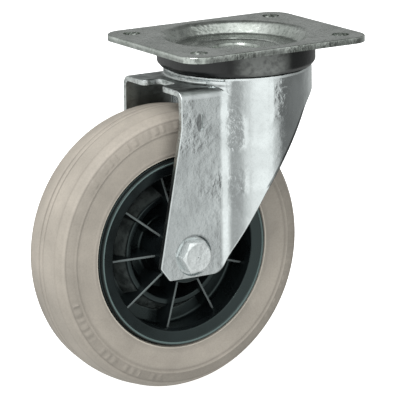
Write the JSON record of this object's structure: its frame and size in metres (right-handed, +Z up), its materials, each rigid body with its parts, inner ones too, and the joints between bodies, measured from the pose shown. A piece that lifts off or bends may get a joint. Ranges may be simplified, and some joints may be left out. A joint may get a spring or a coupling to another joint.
{
  "type": "swivel castor",
  "caption": "Swivel castor with a dished rectangular mounting plate, dust-sealed double ball races, a pressed steel fork and a rubber-tyred wheel on a roller bearing.",
  "frame": {"origin": "centre of the mounting plate's top face, on the swivel axis", "axes": "+Z up, square to the plate, out of its top face; X along the plate's long side, the wheel trailing towards -X; Y along the axle"},
  "size_m": [0.2125, 0.11, 0.219],
  "materials": {
    "zinc_plate": "bright zinc plate, mottled",
    "zinc_rivet": "bright zinc plate",
    "zinc_cup": "bright zinc plate",
    "zinc_fork": "bright zinc plate, mottled",
    "zinc_fastener": "bright zinc plate",
    "plain_steel": "ground steel",
    "ball_steel": "polished bearing steel",
    "black_seal": "satin black",
    "black_plastic": "moulded black, semi-gloss",
    "cap_plastic": "moulded black",
    "nylon": "natural nylon",
    "grey_rubber": "matt non-marking grey rubber"
  },
  "bodies": {
    "plate": {"top_plate": "zinc_plate", "kingpin": "zinc_rivet", "lower_race_cup": "zinc_cup", "seal_ring": "black_seal"},
    "upper_ball_ring": {"upper_balls": "ball_steel"},
    "lower_ball_ring": {"lower_balls": "ball_steel"},
    "fork": {"fork": "zinc_fork", "axle_bolt": "zinc_fastener", "axle_nut": "zinc_fastener", "nut_insert": "nylon", "nut_washer": "zinc_fastener", "axle_tube": "plain_steel"},
    "wheel": {"wheel_centre": "black_plastic", "tyre": "grey_rubber", "bearing_sleeve": "plain_steel", "thrust_washer_near": "plain_steel", "thrust_washer_far": "plain_steel", "hub_cap_near": "cap_plastic", "hub_cap_far": "cap_plastic"},
    "roller_set": {"roller_cage": "nylon", "bearing_rollers": "ball_steel"}
  },
  "joints": [
    {"name": "swivel", "type": "hinge", "parent": "plate", "child": "fork", "pos_m": [0, 0, -0.0175], "axis": [0, 0, 1], "continuous": true},
    {"name": "wheel_spin", "type": "hinge", "parent": "fork", "child": "wheel", "pos_m": [-0.055, 0, -0.129], "axis": [0, 1, 0], "continuous": true},
    {"name": "upper_ball_orbit", "type": "hinge", "parent": "plate", "child": "upper_ball_ring", "pos_m": [0, 0, -0.0145], "axis": [0, 0, 1], "continuous": true},
    {"name": "lower_ball_orbit", "type": "hinge", "parent": "plate", "child": "lower_ball_ring", "pos_m": [0, 0, -0.02375], "axis": [0, 0, 1], "continuous": true},
    {"name": "roller_orbit", "type": "hinge", "parent": "fork", "child": "roller_set", "pos_m": [-0.055, 0, -0.129], "axis": [0, 1, 0], "continuous": true}
  ],
  "couplings": [
    {"joint": "upper_ball_orbit", "follows": "swivel", "ratio": 0.5},
    {"joint": "lower_ball_orbit", "follows": "swivel", "ratio": 0.5},
    {"joint": "roller_orbit", "follows": "wheel_spin", "ratio": 0.6158}
  ]
}
